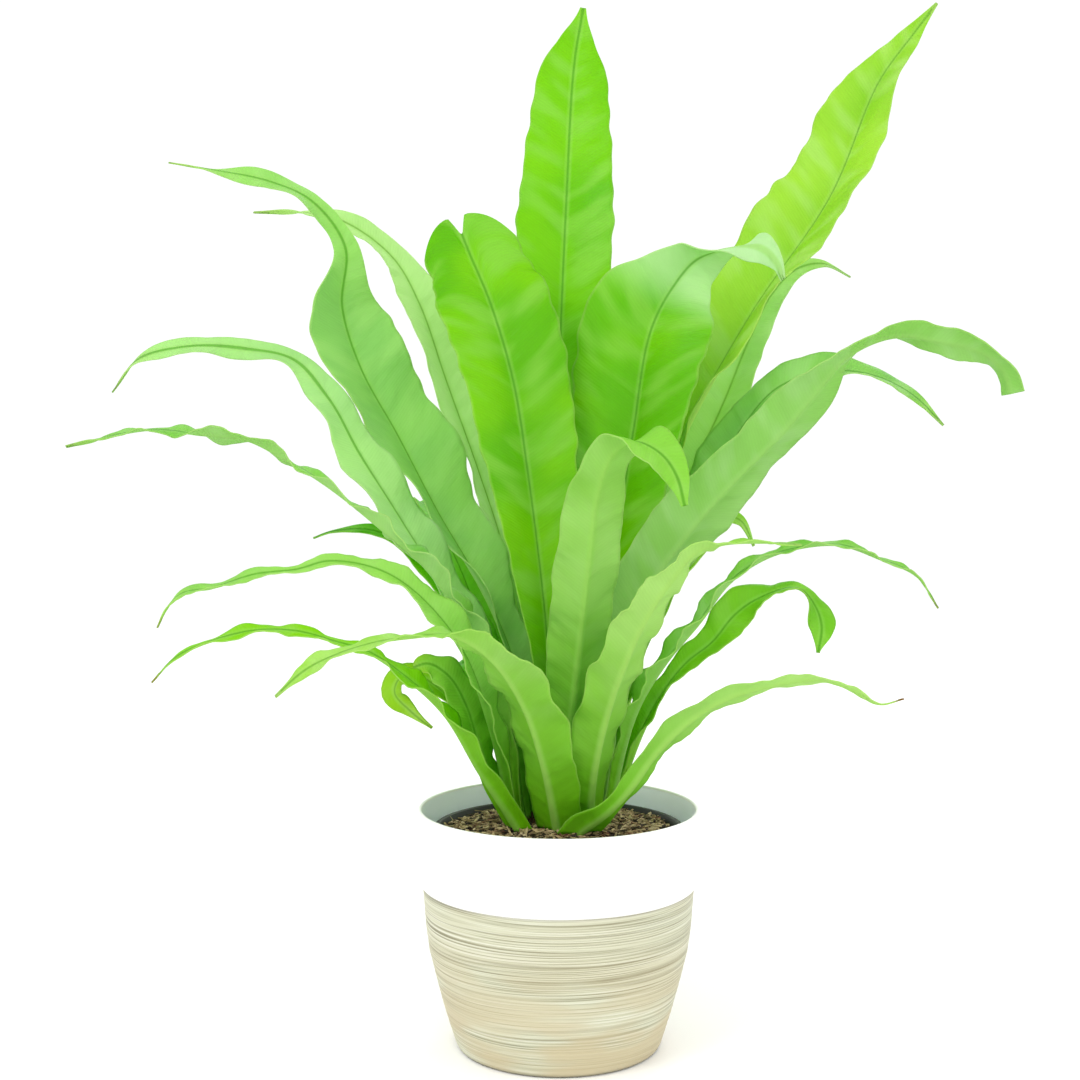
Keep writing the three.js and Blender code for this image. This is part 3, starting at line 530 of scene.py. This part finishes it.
def frondMaterial(name, hues, upper):
    # living leaf: thin tissue under a waxy cuticle, with soft gloss above, a duller back, and light through it
    material, tree = newMaterial(name)
    place = addNode(tree, "Attribute", attribute_name="leafPlace")
    part = addNode(tree, "SeparateXYZ", {0: place.outputs["Vector"]})
    toneAt = addNode(tree, "Attribute", attribute_name="leafTone")
    tone = addNode(tree, "SeparateXYZ", {0: toneAt.outputs["Vector"]})
    where = addNode(tree, "TexCoord")
    out = addNode(tree, "Math", {0: part.outputs["X"]}, operation="ABSOLUTE")
    slanted = addNode(tree, "Math", {0: out, 1: -leaf["pleatSlope"], 2: part.outputs["Y"]},
                      operation="MULTIPLY_ADD")
    line = addNode(tree, "CombineXYZ", {0: slanted, 1: part.outputs["X"]})
    # bands repeat every 0.314 / scale units of their own coordinate, here millimetres
    veins = addNode(tree, "TexWave", {
        "Vector": line, "Scale": 0.314 / leaf["veinPitch"], "Distortion": 3.0, "Detail": 2.0,
        "Detail Scale": 0.3}, bands_direction="X")
    # soft patches about 15 mm by 40 mm, drawn out along the side veins, painted paler as a sheen: the gloss
    # highlight of the waxy skin put into the colour
    spread = addNode(tree, "VectorMath", {
        0: line, 1: (0.06, 0.025, 0) if upper else (0.07, 0.03, 0)}, operation="MULTIPLY")
    patches = addNode(tree, "TexNoise", {"Vector": spread, "Scale": 1.0, "Detail": 1.2, "Roughness": 0.4})
    clouds = addNode(tree, "TexNoise", {
        "Vector": where.outputs["Object"], "Scale": 12.0, "Detail": 2.0, "Roughness": 0.5})
    # each share follows a value from one place to another, and runs from its first to its last amount
    fresh, sheen, foot, margin, shoulder, rib = (
        addNode(tree, "MapRange", {
            "Value": value, "From Min": low, "From Max": high, "To Min": first, "To Max": last},
            interpolation_type="SMOOTHSTEP")
        for value, low, high, first, last in (
            (clouds, 0.36, 0.6, 0.0, 1.0),
            (patches, 0.44, 0.68, 0.0, 0.7 if upper else 0.55),
            # the foot share paints shade: a deeper, more saturated green towards the crown, where the stalks shade
            # each other
            (part.outputs["Y"], 10.0, 185.0, 0.95, 0.0),
            (part.outputs["Z"], 0.95, 1.0, 0.0, 0.25),
            (out, 1.4, 3.4, 0.3, 0.0),
            (out, 0.2, 1.5, 0.7, 0.0) if upper else (out, 0.6, 3.0, 0.4, 0.0)))
    veinShare = addNode(tree, "MapRange", {"Value": veins.outputs[1], "To Max": 0.06 if upper else 0.07})
    spots = addNode(tree, "TexNoise", {
        "Vector": where.outputs["Object"], "Scale": 260.0, "Detail": 3.0})
    drySpots = addNode(tree, "Math", {0: spots, 1: 0.7, 2: -0.35}, operation="MULTIPLY_ADD")
    dry = addNode(tree, "Math", {0: drySpots, 1: tone.outputs["Z"]}, operation="ADD",
                  use_clamp=True)
    dried = addNode(tree, "Math", {0: dry, 1: tone.outputs["Z"]}, operation="MULTIPLY",
                    use_clamp=True)
    colour = addNode(tree, "Mix", {
        0: fresh, 6: hues["deep" if upper else "under"], 7: hues["fresh" if upper else "keel"]}, data_type="RGBA")
    for share, hue in (
            # painted sheen: paler patches that stand in for the gloss highlight
            (sheen, hues["sheen" if upper else "underSheen"]),
            (veinShare, "#3f8a10" if upper else "#5f9a28"),
            # paleness: the blade's own paler tissue, and on some blades painted glare and light shining through
            (tone.outputs["X"], "#cdeeb4" if upper else "#d6f2c8"),
            (tone.outputs["Y"], "#bfe41e"),
            # painted shade near the crown
            (foot, "#68bc06" if upper else "#76c400"),
            (margin, "#cdea86"),
            (shoulder, hues["underSheen"]),
            (rib, hues["line" if upper else "keel"]),
            (dried, "#9a6b34")):
        colour = addNode(tree, "Mix", {0: share, 6: colour.outputs[2], 7: hue}, data_type="RGBA")
    relief = addNode(tree, "Math", {0: veins.outputs[1], 1: 0.8 if upper else -0.9, 2: spots},
                     operation="MULTIPLY_ADD")
    # shallow puckers about 12 mm by 20 mm between the side veins
    puckerPlace = addNode(tree, "VectorMath", {0: line, 1: (0.085, 0.05, 0)}, operation="MULTIPLY")
    puckers = addNode(tree, "TexNoise", {"Vector": puckerPlace, "Scale": 1.0, "Detail": 1.5})
    crumpled = addNode(tree, "Bump", {"Strength": 0.5, "Distance": 0.004, "Height": puckers})
    bump = addNode(tree, "Bump", {"Strength": 0.18 if upper else 0.1, "Distance": 0.0004,
                                  "Height": relief, "Normal": crumpled})
    gloss = addNode(tree, "MapRange", {
        "Value": clouds, "To Min": 0.34 if upper else 0.5, "To Max": 0.5 if upper else 0.66})
    skin = addNode(tree, "BsdfPrincipled", {
        "Base Color": colour.outputs[2], "Roughness": gloss, "IOR": 1.42, "Normal": bump,
        "Specular IOR Level": 0.24 if upper else 0.12, "Coat Weight": 0.05 if upper else 0.0,
        "Coat Roughness": 0.35})
    through = addNode(tree, "Mix", {0: 0.3, 6: colour.outputs[2], 7: "#a8f000"}, data_type="RGBA")
    glow = addNode(tree, "BsdfTranslucent", {"Color": through.outputs[2], "Normal": bump})
    mixed = addNode(tree, "MixShader", {0: 0.4, 1: skin, 2: glow})
    addNode(tree, "OutputMaterial", {"Surface": mixed})
    return material


frondSkins = {
    skin: [frondMaterial(f"fern_leaf_{side}_{skin}", hues, side == "upper") for side in ("upper", "under")]
    for skin, hues in leafHues.items()
}
for frond in fronds:
    buildFrond(frond)
print("fronds built:", len(fronds))

# Pots

coverPot = {
    "outline": [(0, 61), (4, 63), (22, 68.6), (38, 73), (60, 78.4), (75, 80.4), (99, 82.1), (145, 84.6)],
    "height": 145,
    "rim": 85,
    "wall": 2.6,
    "floor": 3,
    "foot": 59,
    "bandBottom": 99,
    "bandProud": 0.9,
    "strandStep": 0.43,
    "turns": 224,
}
growPot = {"top": 133, "bottom": 3.3, "topRadius": 74, "footRadius": 52, "wall": 1.3, "lip": 2.2, "turns": 144}


def coverRadius(z):
    return float(np.interp(z, *zip(*coverPot["outline"])))


def turnedMesh(profile, turns, name):
    # a closed profile of (radius, height) spun about the upright axis
    bm = bmesh.new()
    corners = [bm.verts.new((r * mm, 0, z * mm)) for r, z in profile]
    lines = [bm.edges.new(pair) for pair in zip(corners, corners[1:])]
    bmesh.ops.spin(bm, geom=corners + lines, cent=(0, 0, 0), axis=(0, 0, 1), angle=2 * math.pi, steps=turns,
                   use_merge=True)
    bmesh.ops.remove_doubles(bm, verts=bm.verts, dist=1e-6)
    bmesh.ops.recalc_face_normals(bm, faces=bm.faces)
    return meshFrom(bm, name)


def strandRelief(x, y, z):
    # combed relief of the lower band: fine level strands that drift a little; their level and their height
    level = z + 1.8 * noise.noise((x / 95, y / 95, z / 70)) + 0.3 * noise.noise((x / 40, y / 40, z / 18 + 7))
    broad = noise.noise((x / 170, y / 170, level / 1.5))
    fine = noise.noise((x / 120, y / 120, level / 0.8 + 31))
    return level, 0.3 * broad + 0.6 * fine


def buildCoverPot():
    pot = coverPot
    profile = [(r, 0) for r in (0, 20, 40, pot["foot"] - 1)]
    profile += [(pot["foot"], 0), (pot["foot"] + 1.2, 0.25), (pot["foot"] + 2.2, 0.9), (coverRadius(2), 2)]
    z = 2 + pot["strandStep"]
    while z < pot["bandBottom"] - 0.9:
        profile.append((coverRadius(z), z))
        z += pot["strandStep"]
    edge, proud = pot["bandBottom"], pot["bandProud"]
    profile += [(coverRadius(edge) - 0.4, edge - 0.6), (coverRadius(edge) - 0.3, edge - 0.3)]
    profile += [(coverRadius(edge) + proud - 0.5, edge - 0.1), (coverRadius(edge) + proud - 0.15, edge + 0.1)]
    profile += [(coverRadius(edge) + proud, edge + 0.5), (coverRadius(edge + 4) + proud, edge + 4)]
    profile += [(coverRadius(z) + proud, z) for z in (108, 115, 122)]
    profile += [(pot["rim"] - 0.25, 132), (pot["rim"], 140), (pot["rim"], pot["height"] - 1.6)]
    middle, bead = pot["rim"] - pot["wall"] / 2, pot["wall"] / 2
    for k in range(9):
        angle = math.pi * k / 8
        profile.append((middle + bead * math.cos(angle), pot["height"] - bead + bead * math.sin(angle)))
    profile += [(pot["rim"] - pot["wall"], pot["height"] - 2)]
    profile += [(coverRadius(z) - pot["wall"], z) for z in range(130, 8, -6)]
    profile += [(pot["foot"] - 2.4, pot["floor"] + 1.4), (pot["foot"] - 3.4, pot["floor"] + 0.2)]
    profile += [(r, pot["floor"]) for r in (pot["foot"] - 5, 40, 20, 0)]
    mesh = turnedMesh(profile, pot["turns"], "cover_pot_shell")

    places = vertexPlaces(mesh) / mm
    radius = np.hypot(places[:, 0], places[:, 1])
    strands, levels = np.zeros(len(places)), places[:, 2].copy()
    for i, (x, y, z) in enumerate(places):
        if 1.5 < z < edge - 0.8 and radius[i] > coverRadius(z) - 1:
            levels[i], height = strandRelief(x, y, z)
            strands[i] = height * min(1, (z - 1.5) / 3, (edge - 0.8 - z) / 2)
    outward = (0.26 * strands - 0.1 * (strands != 0))[:, None] / np.maximum(radius, 1)[:, None]
    places[:, :2] += places[:, :2] * outward
    mesh.vertices.foreach_set("co", (places * mm).ravel())
    mesh.update()
    setAttribute(mesh, "strand", strands)
    setAttribute(mesh, "strandLevel", levels)
    piece = finishPiece("cover_pot_shell", mesh, [coverWhite, coverStrands, coverInside],
                        ["cover_pot"])
    for face in mesh.polygons:
        x, y, z = face.center / mm
        inner = math.hypot(x, y) < coverRadius(z) - 1.4
        if inner and 3 < z < pot["height"] - 1.4:
            face.material_index = 2
        elif z < edge - 0.5:
            face.material_index = 1
    return piece


def plasticMaterial(name, colours, roughness, grain, relief, milky=0.0):
    # moulded polypropylene: even colour, soft gloss, a fine skin, and light that seeps through if milky
    material, tree = newMaterial(name)
    where = addNode(tree, "TexCoord")
    clouds = addNode(tree, "TexNoise", {"Vector": where.outputs["Object"], "Scale": 18.0, "Detail": 3.0})
    skinGrain = addNode(tree, "TexNoise", {
        "Vector": where.outputs["Object"], "Scale": 1000 / grain, "Detail": 2.0})
    colour = addNode(tree, "Mix", {0: clouds, 6: colours[0], 7: colours[1]}, data_type="RGBA")
    gloss = addNode(tree, "MapRange", {
        "Value": clouds, "To Min": roughness - 0.05, "To Max": roughness + 0.07})
    bump = addNode(tree, "Bump", {"Strength": relief, "Distance": 0.0003, "Height": skinGrain})
    skin = addNode(tree, "BsdfPrincipled", {
        "Base Color": colour.outputs[2], "Roughness": gloss, "IOR": 1.49, "Normal": bump,
        "Subsurface Weight": milky, "Subsurface Radius": (1, 1, 1), "Subsurface Scale": 0.004})
    addNode(tree, "OutputMaterial", {"Surface": skin})
    return material


def strandMaterial():
    # the same plastic with a fibre relief and a thin tan stain; its colour follows the relief, with painted shade
    # darkening the grooves and a painted highlight lightening the strands
    material, tree = newMaterial("stained_fibre_relief")
    where = addNode(tree, "TexCoord")
    strand = addNode(tree, "Attribute", attribute_name="strand")
    strandLevel = addNode(tree, "Attribute", attribute_name="strandLevel")
    around = addNode(tree, "SeparateXYZ", {0: where.outputs["Object"]})
    follow = addNode(tree, "CombineXYZ", {0: around.outputs["X"], 1: around.outputs["Y"],
                                          2: strandLevel.outputs["Fac"]})
    # threads about 0.6 mm high and 110 mm long, and now and then a dark line where two of them part
    threads, parting, stain = (
        addNode(tree, "TexNoise", {
            "Vector": addNode(tree, "VectorMath", {0: follow, 1: scale}, operation="MULTIPLY"),
            "Scale": 1.0, "Detail": detail})
        for scale, detail in (((9, 9, 1.7), 2.0), ((7, 7, 1.4), 0.0), ((14, 14, 0.05), 2.0)))
    level = addNode(tree, "Math", {0: strand.outputs["Fac"], 1: 0.12, 2: threads},
                    operation="MULTIPLY_ADD")
    # the ramp paints shade into the low grooves and a highlight onto the high strands
    tones = addNode(tree, "ValToRGB", {0: addNode(tree, "MapRange", {
        "Value": level, "From Min": 0.3, "From Max": 0.7})})
    ramp = tones.color_ramp
    for place, hue in ((0.0, "#8e8d74"), (0.3, "#b6b69c"), (0.48, "#cacab0"), (0.68, "#d0d1b9")):
        stop = ramp.elements.new(place) if place else ramp.elements[0]
        stop.color = linear(hue)
    ramp.elements[-1].color = linear("#e0e0d0")
    lineShare = addNode(tree, "MapRange", {"Value": parting, "From Min": 0.32,
                                           "From Max": 0.37, "To Min": 0.9, "To Max": 0.0})
    faint = addNode(tree, "MapRange", {"Value": stain, "From Min": 0.4, "From Max": 0.62,
                                       "To Min": 0.3})
    darkShare = addNode(tree, "Math", {0: lineShare, 1: faint}, operation="MULTIPLY")
    tan = addNode(tree, "MapRange", {"Value": stain, "From Min": 0.33, "From Max": 0.56},
                  interpolation_type="SMOOTHSTEP")
    # shares at a height: the tan lower part, a painted contact shadow along the foot, and a painted shadow under
    # the band's edge
    low, foot, lipShadow = (
        addNode(tree, "MapRange", {"Value": around.outputs["Z"], "From Min": start, "From Max": stop,
                                   "To Min": first, "To Max": last})
        for start, stop, first, last in (
            (0.08, 0.02, 0.15, 0.85), (0.0008, 0.0024, 0.7, 0.0), (0.0968, 0.0985, 0.0, 0.5)))
    tanShare = addNode(tree, "Math", {0: tan, 1: low}, operation="MULTIPLY")
    colour = tones
    for share, hue in ((darkShare, "#6e6c50"), (tanShare, "#c4b794"), (foot, "#6f6f62"), (lipShadow, "#98948e")):
        colour = addNode(tree, "Mix", {0: share, 6: colour, 7: hue}, data_type="RGBA").outputs[2]
    bump = addNode(tree, "Bump", {"Strength": 0.6, "Distance": 0.0005, "Height": threads})
    skin = addNode(tree, "BsdfPrincipled", {
        "Base Color": colour, "Roughness": 0.55, "IOR": 1.49, "Normal": bump})
    addNode(tree, "OutputMaterial", {"Surface": skin})
    return material


coverWhite = plasticMaterial("white_polypropylene", ("#fafaf7", "#f4f4f0"), 0.3, 1.2, 0.06)
# the inside is the same white plastic with a faint cool grey-green tint, painted for the shade inside the pot
coverInside = plasticMaterial("white_polypropylene_inside", ("#f2faf8", "#eaf4f4"), 0.45, 1.0, 0.1, 1.0)
growBlack = plasticMaterial("black_recycled_polypropylene", ("#24281f", "#333830"), 0.5, 0.8, 0.25)
coverStrands = strandMaterial()


def buildGrowPot():
    pot = growPot
    slope = (pot["topRadius"] - pot["footRadius"]) / (pot["top"] - pot["bottom"])
    wall = [(pot["footRadius"] + slope * (z - pot["bottom"]), z)
            for z in np.linspace(pot["bottom"] + 1, 126.6, 14)]
    lip, top = pot["topRadius"] + pot["lip"], pot["top"]
    profile = [(0, pot["bottom"]), (30, pot["bottom"]), (pot["footRadius"] - 1, pot["bottom"])] + wall
    profile += [(lip - 0.5, 127), (lip - 0.1, 127.2), (lip, 127.8), (lip, top - 1), (lip - 0.3, top - 0.4)]
    profile += [(lip - 0.9, top), (pot["topRadius"] - 0.9, top), (pot["topRadius"] - pot["wall"], top - 0.4)]
    profile += [(r - pot["wall"], z) for r, z in reversed(wall)]
    profile += [(30, pot["bottom"] + pot["wall"]), (0, pot["bottom"] + pot["wall"])]
    mesh = turnedMesh(profile, pot["turns"], "grow_pot_shell")
    return finishPiece("grow_pot_shell", mesh, [growBlack], ["grow_pot"])


buildCoverPot()
buildGrowPot()
print("pots built")

# Potting mix and rootstock

mix = {
    "top": 129,
    "mound": 6.3,  # how far it rises towards the crown
    "edge": 71.4,
    "hollow": 38.3,
    "crownFloor": 96,
    "chips": 2300,
    "fibres": 300,
    "scales": 420,
}


def soilRise(x, y):
    return 1.1 * noise.noise((x / 11, y / 11, 3)) + 0.7 * noise.noise((x / 4, y / 4, 9))


def mixTop(radius):
    inwards = min(1, max(0, (mix["edge"] - 0.6 - radius) / (mix["edge"] - 0.6 - mix["hollow"])))
    return mix["top"] + mix["mound"] * inwards ** 1.6


def soilMaterial():
    # damp coir and composted bark: rough, dull crumbs from near black to straw
    material, tree = newMaterial("coir_and_bark_mix")
    where = addNode(tree, "TexCoord")
    shade = addNode(tree, "Attribute", attribute_name="chipShade")
    crumbs = addNode(tree, "TexNoise", {"Vector": where.outputs["Object"], "Scale": 420.0, "Detail": 5.0,
                                        "Roughness": 0.7})
    level = addNode(tree, "Math", {0: crumbs, 1: 0.5, 2: shade.outputs["Fac"]},
                    operation="MULTIPLY_ADD")
    tones = addNode(tree, "ValToRGB", {0: level})
    ramp = tones.color_ramp
    for place, hue in ((0.0, "#26221a"), (0.22, "#463c2a"), (0.42, "#86744e"), (0.66, "#bba67a")):
        stop = ramp.elements.new(place) if place else ramp.elements[0]
        stop.color = linear(hue)
    ramp.elements[-1].color = linear("#e6d8b0")
    barky = addNode(tree, "TexNoise", {"Vector": where.outputs["Object"], "Scale": 95.0, "Detail": 1.0})
    red = addNode(tree, "MapRange", {"Value": barky, "From Min": 0.56, "From Max": 0.64,
                                     "To Max": 0.5})
    colour = addNode(tree, "Mix", {0: red, 6: tones, 7: "#7e4a34"}, data_type="RGBA")
    bump = addNode(tree, "Bump", {"Strength": 0.8, "Distance": 0.0008, "Height": crumbs})
    skin = addNode(tree, "BsdfPrincipled", {
        "Base Color": colour.outputs[2], "Roughness": 0.88, "Specular IOR Level": 0.3, "Normal": bump})
    addNode(tree, "OutputMaterial", {"Surface": skin})
    return material


mixSurface = soilMaterial()


def buildSoil():
    bottom, slope = 4.9, (growPot["topRadius"] - growPot["footRadius"]) / (growPot["top"] - growPot["bottom"])
    radius = lambda z: growPot["footRadius"] - 1.6 + slope * (z - bottom)
    profile = [(0, bottom), (radius(bottom) - 1, bottom), (radius(bottom + 1), bottom + 1)]
    profile += [(radius(z), z) for z in (30, 60, 90, 110, 122)] + [(mix["edge"], mix["top"] - 1.4)]
    profile += [(r, mixTop(r)) for r in np.arange(mix["edge"] - 0.6, mix["hollow"] + 0.3, -1.4)]
    profile += [(mix["hollow"], mixTop(mix["hollow"])), (mix["hollow"], mix["crownFloor"]), (0, mix["crownFloor"])]
    mesh = turnedMesh(profile, 180, "soil_fill")
    places = vertexPlaces(mesh) / mm
    for place in places:
        if place[2] > mix["top"] - 0.1:
            place[2] += soilRise(place[0], place[1])
    mesh.vertices.foreach_set("co", (places * mm).ravel())
    mesh.update()
    # the fill under the chips is set darker than most chips: painted shade for the gaps between them
    setAttribute(mesh, "chipShade", np.full(len(places), -0.12))
    return finishPiece("soil_fill", mesh, [mixSurface], ["soil"])


def buildCrown():
    profile = [(0, 96.3), (22, 96.3), (31, 102.3), (36.8, 116.3), (37.4, 126), (37.2, 133.4), (36.2, 135.4)]
    profile += [(r, 135.8) for r in np.arange(35, 1, -1.6)] + [(0, 135.8)]
    mesh = turnedMesh(profile, 140, "crown_rootstock")
    places = vertexPlaces(mesh) / mm
    for place in places:
        if place[2] > 135:
            place[2] += 0.6 * soilRise(place[0] + 50, place[1])
    mesh.vertices.foreach_set("co", (places * mm).ravel())
    mesh.update()
    setAttribute(mesh, "chipShade", np.full(len(places), -0.1))
    return finishPiece("crown_rootstock", mesh, [mixSurface], ["crown"])


def scattered(count, addOne):
    # many small pieces in one mesh, made a hundred at a time because a large bmesh is slow to add to
    whole = bmesh.new()
    for start in range(0, count, 100):
        few = bmesh.new()
        for _ in range(min(100, count - start)):
            addOne(few)
        bmesh.ops.recalc_face_normals(few, faces=few.faces)
        mesh = meshFrom(few, "few")
        whole.from_mesh(mesh)
        bpy.data.meshes.remove(mesh)
    return whole


def buildChips():
    # bark chips, husk and short fibres that lie on the mix, each with few faces
    rng = random.Random(7)
    shades = []

    def spot(inner, outer):
        radius, angle = math.sqrt(rng.uniform(inner ** 2, outer ** 2)), rng.uniform(0, 2 * math.pi)
        x, y = radius * math.cos(angle), radius * math.sin(angle)
        return Vector((x, y, mixTop(radius) + 0.4 + soilRise(x, y)))

    def addChip(bm):
        place = spot(20, 70.5) + Vector((0, 0, rng.uniform(-0.4, 1.5)))
        length, width, height = rng.uniform(3, 10), rng.uniform(1.3, 3.2), rng.uniform(0.7, 1.5)
        turn = Matrix.Rotation(rng.uniform(0, math.pi), 4, "Z") @ Matrix.Rotation(rng.gauss(0, 0.28), 4, "Y")
        size = Matrix.Diagonal((length / 2 * mm, width / 2 * mm, height / 2 * mm, 1))
        chip = bmesh.ops.create_icosphere(bm, subdivisions=1, radius=1,
                                          matrix=Matrix.Translation(place * mm) @ turn @ size)["verts"]
        for vert in chip:
            vert.co += Vector([rng.gauss(0, 0.17) * mm for _ in range(3)])
        shades.extend([rng.choice((-0.2, -0.05, 0.1, 0.2, 0.3, 0.4, 0.5))] * len(chip))

    def addFibre(bm):
        place = Matrix.Translation((spot(26, 69) + Vector((0, 0, 1.3))) * mm)
        turn = Matrix.Rotation(rng.uniform(0, math.pi), 4, "Z")
        tilt = Matrix.Rotation(math.pi / 2 + rng.gauss(0, 0.15), 4, "Y")
        fibre = bmesh.ops.create_cone(bm, segments=4, radius1=0.25 * mm, radius2=0.12 * mm, cap_ends=True,
                                      depth=rng.uniform(5, 13) * mm, matrix=place @ turn @ tilt)["verts"]
        shades.extend([rng.choice((0.1, 0.3, 0.5))] * len(fibre))

    bm = scattered(mix["chips"], addChip)
    fibres = meshFrom(scattered(mix["fibres"], addFibre), "fibres")
    bm.from_mesh(fibres)
    bpy.data.meshes.remove(fibres)
    mesh = meshFrom(bm, "soil_chips")
    setAttribute(mesh, "chipShade", shades)
    piece = finishPiece("soil_chips", mesh, [mixSurface])
    mesh.polygons.foreach_set("use_smooth", [False] * len(mesh.polygons))
    return piece


def scaleMaterial():
    # papery fern scales: dry, thin and chestnut, paler along some of their length
    material, tree = newMaterial("papery_fern_scale")
    where = addNode(tree, "TexCoord")
    streaks = addNode(tree, "TexNoise", {"Vector": where.outputs["Object"], "Scale": 330.0, "Detail": 2.0})
    colour = addNode(tree, "Mix", {0: streaks, 6: "#3e2c1a", 7: "#85653e"}, data_type="RGBA")
    bump = addNode(tree, "Bump", {"Strength": 0.4, "Distance": 0.0003, "Height": streaks})
    skin = addNode(tree, "BsdfPrincipled", {
        "Base Color": colour.outputs[2], "Roughness": 0.6, "Normal": bump})
    addNode(tree, "OutputMaterial", {"Surface": skin})
    return material


def buildScales():
    # the thin brown scales that clothe the rootstock between the stalks, upright and splayed
    rng = random.Random(11)

    def addScale(bm):
        radius, angle = 29 * math.sqrt(rng.uniform(0, 1)), rng.uniform(0, 2 * math.pi)
        length = rng.uniform(2.5, 5.5)
        place = Matrix.Translation(Vector((radius * math.cos(angle), radius * math.sin(angle), 135.4)) * mm)
        lean = Matrix.Rotation(angle + rng.gauss(0, 0.8), 4, "Z") @ Matrix.Rotation(rng.uniform(0.1, 1.1), 4, "Y")
        rise = Matrix.Translation((0, 0, length / 2 * mm)) @ Matrix.Diagonal((0.35, 1, 1, 1))
        bmesh.ops.create_cone(bm, segments=5, radius1=0.7 * mm, radius2=0.06 * mm, cap_ends=True,
                              depth=length * mm, matrix=place @ lean @ rise)

    mesh = meshFrom(scattered(mix["scales"], addScale), "crown_scales")
    return finishPiece("crown_scales", mesh, [scaleMaterial()])


buildSoil()
buildCrown()
buildChips()
buildScales()
print("potting mix built")
